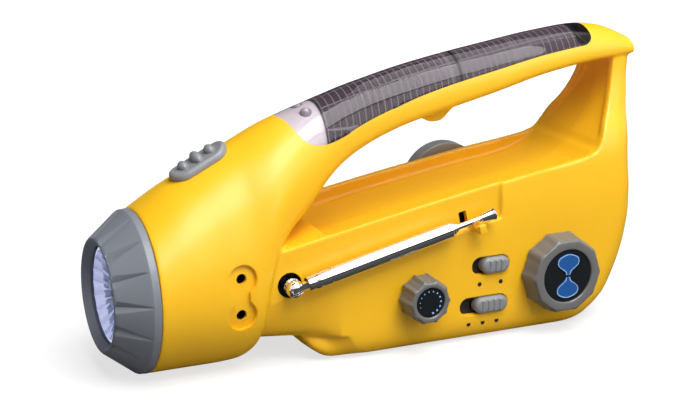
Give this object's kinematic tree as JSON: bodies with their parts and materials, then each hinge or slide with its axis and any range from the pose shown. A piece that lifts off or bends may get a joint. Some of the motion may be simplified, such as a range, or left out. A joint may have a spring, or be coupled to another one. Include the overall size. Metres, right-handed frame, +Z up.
{
  "type": "solar radio flashlight",
  "caption": "Handheld flashlight with a built-in radio, a solar-topped handle over a finger gap, knobs and a folding antenna on one side, and a folding charging crank on the other.",
  "frame": {"origin": "centre of the plan bounding box, at the level of the flat base it stands on", "axes": "+X from the lamp to the rear of the handle, +Y towards the crank side (the knobs and the antenna are on the -Y side), +Z up"},
  "size_m": [0.2304, 0.0764, 0.1228],
  "materials": {
    "shell": "glossy injection-moulded plastic",
    "bezel": "satin moulded plastic",
    "knob": "satin moulded plastic",
    "chrome": "polished plating",
    "reflector": "vacuum-metallised plastic",
    "steel": "plain machined or plated steel",
    "dial": "gloss plastic plate",
    "key": "printed plastic",
    "clear": "clear polished plastic",
    "cell": "coated solar cell",
    "bulb": "clear epoxy lamp",
    "black": "plain moulded plastic",
    "board": "lacquered circuit board",
    "gear": "plain nylon",
    "cone": "coated paper cone"
  },
  "bodies": {
    "case": {"near_shell": "shell", "far_shell": "shell", "case_screw_1": "steel", "case_screw_2": "steel", "case_screw_3": "steel", "case_screw_4": "steel", "case_screw_5": "steel", "bezel": "bezel", "lens": "clear", "reflector": "reflector", "lamp_board": "board", "lamp_bulb_1": "bulb", "lamp_bulb_2": "bulb", "lamp_bulb_3": "bulb", "lamp_bulb_4": "bulb", "lamp_bulb_5": "bulb", "head_switch_body": "black", "solar_window": "clear", "solar_cell_front": "cell", "solar_cell_rear": "cell", "charge_bulb_near": "bulb", "charge_bulb_far": "bulb", "volume_pot": "black", "tuning_dial": "dial", "tuning_pot": "black", "upper_switch": "black", "lower_switch": "black", "phone_jack": "black", "power_jack": "black", "gear_plate": "steel", "dynamo_can": "steel", "speaker_frame": "steel", "speaker_cone": "cone", "speaker_magnet": "steel", "main_board": "board", "battery_pack": "black", "battery_door": "shell", "door_screw": "steel"},
    "head_switch": {"head_switch": "knob"},
    "volume": {"volume_knob": "knob", "volume_dial": "dial"},
    "tuning": {"tuning_knob": "knob"},
    "upper_key": {"tuning_key_upper": "key"},
    "lower_key": {"tuning_key_lower": "key"},
    "upper_slider": {"upper_slider": "knob"},
    "lower_slider": {"lower_slider": "knob"},
    "antenna_base": {"antenna_mount": "chrome", "antenna_pin": "steel"},
    "antenna_tube": {"antenna_tube": "chrome"},
    "antenna_section_2": {"antenna_section_2": "chrome"},
    "antenna_section_3": {"antenna_section_3": "chrome"},
    "antenna_rod": {"antenna_rod": "chrome"},
    "crank": {"crank_arm": "knob", "crank_cap": "knob", "crank_shaft": "steel", "grip_pin": "steel"},
    "grip": {"grip_stem": "steel"},
    "grip_sleeve": {"grip_sleeve": "knob"},
    "idler": {"idler_gear": "gear"},
    "rotor": {"dynamo_rotor": "steel"}
  },
  "joints": [
    {"name": "head_switch_slide", "type": "slide", "parent": "case", "child": "head_switch", "axis": [-0.8876, 0, -0.4607], "range_m": [0, 0.0035]},
    {"name": "volume_turn", "type": "hinge", "parent": "case", "child": "volume", "pos_m": [0.00839, -0.033, 0.02356], "axis": [0, 1, 0], "range_deg": [0, 270]},
    {"name": "tuning_turn", "type": "hinge", "parent": "case", "child": "tuning", "pos_m": [0.07161, -0.033, 0.02604], "axis": [0, 1, 0], "range_deg": [-135, 135]},
    {"name": "upper_key_press", "type": "slide", "parent": "case", "child": "upper_key", "axis": [0, 1, 0], "range_m": [0, 0.0008], "stiffness_N_per_m": 300},
    {"name": "lower_key_press", "type": "slide", "parent": "case", "child": "lower_key", "axis": [0, 1, 0], "range_m": [0, 0.0008], "stiffness_N_per_m": 300},
    {"name": "upper_slider_slide", "type": "slide", "parent": "case", "child": "upper_slider", "axis": [-1, 0, 0], "range_m": [0, 0.0038]},
    {"name": "lower_slider_slide", "type": "slide", "parent": "case", "child": "lower_slider", "axis": [-1, 0, 0], "range_m": [0, 0.0062]},
    {"name": "antenna_swing", "type": "hinge", "parent": "case", "child": "antenna_base", "pos_m": [-0.04664, -0.03125, 0.03484], "axis": [0, -1, 0], "range_deg": [0, 45]},
    {"name": "antenna_tilt", "type": "hinge", "parent": "antenna_base", "child": "antenna_tube", "pos_m": [-0.04664, -0.03125, 0.03484], "axis": [0.225, 0, -0.9744], "range_deg": [0, 90]},
    {"name": "antenna_slide_2", "type": "slide", "parent": "antenna_tube", "child": "antenna_section_2", "axis": [0.9744, 0, 0.225], "range_m": [0, 0.045]},
    {"name": "antenna_slide_3", "type": "slide", "parent": "antenna_section_2", "child": "antenna_section_3", "axis": [0.9744, 0, 0.225], "range_m": [0, 0.045]},
    {"name": "antenna_slide_rod", "type": "slide", "parent": "antenna_section_3", "child": "antenna_rod", "axis": [0.9744, 0, 0.225], "range_m": [0, 0.045]},
    {"name": "crank_turn", "type": "hinge", "parent": "case", "child": "crank", "pos_m": [0.04924, 0.02805, 0.05146], "axis": [0, 1, 0], "continuous": true},
    {"name": "grip_fold", "type": "hinge", "parent": "crank", "child": "grip", "pos_m": [0.00835, 0.03345, 0.03817], "axis": [-0.309, 0, 0.9511], "range_deg": [0, 90]},
    {"name": "grip_spin", "type": "hinge", "parent": "grip", "child": "grip_sleeve", "pos_m": [0.00835, 0.03345, 0.03817], "axis": [-0.9511, 0, -0.309], "continuous": true},
    {"name": "idler_turn", "type": "hinge", "parent": "case", "child": "idler", "pos_m": [0.04469, 0.0155, 0.04211], "axis": [0, 1, 0], "continuous": true},
    {"name": "rotor_turn", "type": "hinge", "parent": "case", "child": "rotor", "pos_m": [0.02965, 0.01, 0.03664], "axis": [0, 1, 0], "continuous": true}
  ],
  "couplings": [
    {"joint": "idler_turn", "follows": "crank_turn", "ratio": -1.1667},
    {"joint": "rotor_turn", "follows": "crank_turn", "ratio": 3.5}
  ]
}
